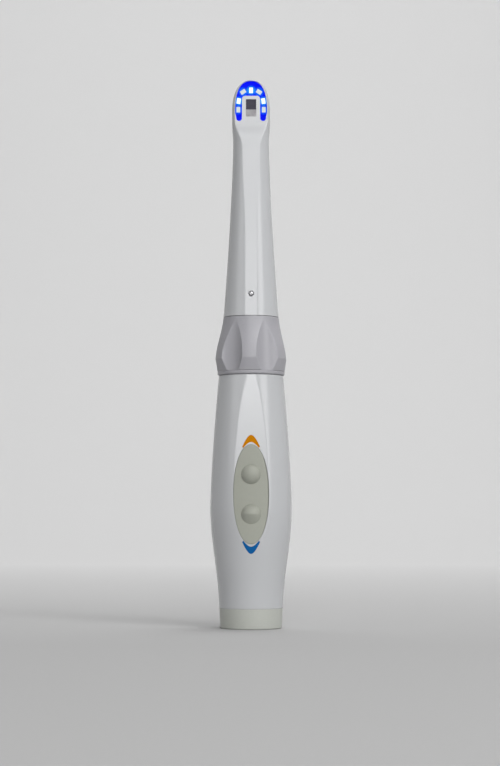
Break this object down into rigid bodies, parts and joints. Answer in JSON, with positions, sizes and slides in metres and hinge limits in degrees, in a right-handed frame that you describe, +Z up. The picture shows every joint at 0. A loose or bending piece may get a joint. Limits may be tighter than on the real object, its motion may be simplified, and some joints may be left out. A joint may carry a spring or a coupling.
{
  "type": "intraoral camera",
  "caption": "Handheld intraoral camera: a slim white wand with a scalloped focus ring, an oval button pad and a lit window at its tip, standing on its base cap.",
  "frame": {"origin": "centre of the charging inlet's mouth, in the plane of the flat base", "axes": "+Z up the handle to the head; the window, lights and buttons face -Y; +X is to the right when facing the window"},
  "size_m": [0.0306, 0.0313, 0.206],
  "materials": {
    "white_shell": "glossy moulded white plastic",
    "cap_grey": "satin greenish grey plastic",
    "ring_grey": "satin lilac grey plastic",
    "pad_silicone": "matte moulded silicone",
    "orange_inlay": "smooth orange inlay",
    "blue_inlay": "smooth blue inlay",
    "screw_steel": "bright turned steel",
    "clear_cover": "clear polished cover",
    "light_board_blue": "blue board lit by its lights",
    "led_white": "lit white emitter",
    "optical_glass": "clear optical glass",
    "optics_grey": "grey satin metal",
    "black_plastic": "black moulded plastic",
    "frame_plastic": "dark grey moulded plastic",
    "circuit_green": "green circuit board",
    "chip_black": "black chip package",
    "shield_can": "tinned steel can",
    "contact_brass": "gold plated brass",
    "cell_wrap": "blue shrink wrap",
    "tube_aluminium": "turned aluminium",
    "carriage_brass": "turned brass",
    "seal_rubber": "black rubber",
    "washer_plastic": "slippery pale plastic",
    "ribbon_amber": "amber flat cable"
  },
  "bodies": {
    "handle": {"handle_front_shell": "white_shell", "handle_rear_shell": "white_shell", "base_cap": "cap_grey", "base_screws": "screw_steel", "charging_socket": "black_plastic", "charging_contacts": "contact_brass", "upper_marker": "orange_inlay", "lower_marker": "blue_inlay", "button_pad": "pad_silicone", "button_board": "circuit_green", "board_spacers": "contact_brass", "upper_switch": "black_plastic", "lower_switch": "black_plastic", "inner_frame": "frame_plastic", "main_board": "circuit_green", "image_processor": "chip_black", "wireless_module": "shield_can", "ribbon_connector": "washer_plastic", "battery_cell": "cell_wrap", "battery_contacts": "contact_brass", "guide_tube": "tube_aluminium", "tube_nut": "tube_aluminium", "lower_seal": "seal_rubber", "thrust_washer": "washer_plastic", "rod_guide": "frame_plastic", "neck_shell": "white_shell", "neck_screw": "screw_steel", "sensor_holder": "frame_plastic", "sensor_board": "circuit_green", "image_sensor": "chip_black", "sensor_ribbon": "ribbon_amber", "prism_holder": "optics_grey", "prism": "optical_glass", "window_glass": "optical_glass", "light_cover": "clear_cover", "light_board": "light_board_blue", "led_1": "led_white", "led_2": "led_white", "led_3": "led_white", "led_4": "led_white", "led_5": "led_white", "led_6": "led_white", "led_7": "led_white"},
    "ring": {"focus_ring": "ring_grey", "cam_sleeve": "carriage_brass"},
    "focus_slide": {"focus_carriage": "carriage_brass", "follower_pin": "screw_steel", "push_rod": "screw_steel", "lens_barrel": "black_plastic", "front_lens": "optical_glass", "rear_lens": "optical_glass"},
    "upper_key": {"upper_button": "pad_silicone", "upper_plunger": "black_plastic"},
    "lower_key": {"lower_button": "pad_silicone", "lower_plunger": "black_plastic"}
  },
  "joints": [
    {"name": "focus_turn", "type": "hinge", "parent": "handle", "child": "ring", "pos_m": [0, 0, 0.105], "axis": [0, 0, 1], "range_deg": [-60, 60]},
    {"name": "focus_travel", "type": "slide", "parent": "handle", "child": "focus_slide", "axis": [0, 0, 1], "range_m": [-0.0008, 0.0008]},
    {"name": "upper_press", "type": "slide", "parent": "handle", "child": "upper_key", "axis": [0, 0.9994, -0.0358], "range_m": [0, 0.0005], "stiffness_N_per_m": 1000, "springref_m": -0.0006},
    {"name": "lower_press", "type": "slide", "parent": "handle", "child": "lower_key", "axis": [0, 0.9994, -0.0358], "range_m": [0, 0.0005], "stiffness_N_per_m": 1000, "springref_m": -0.0006}
  ],
  "couplings": [
    {"joint": "focus_travel", "follows": "focus_turn", "m_per_rad": 0.00076394}
  ]
}
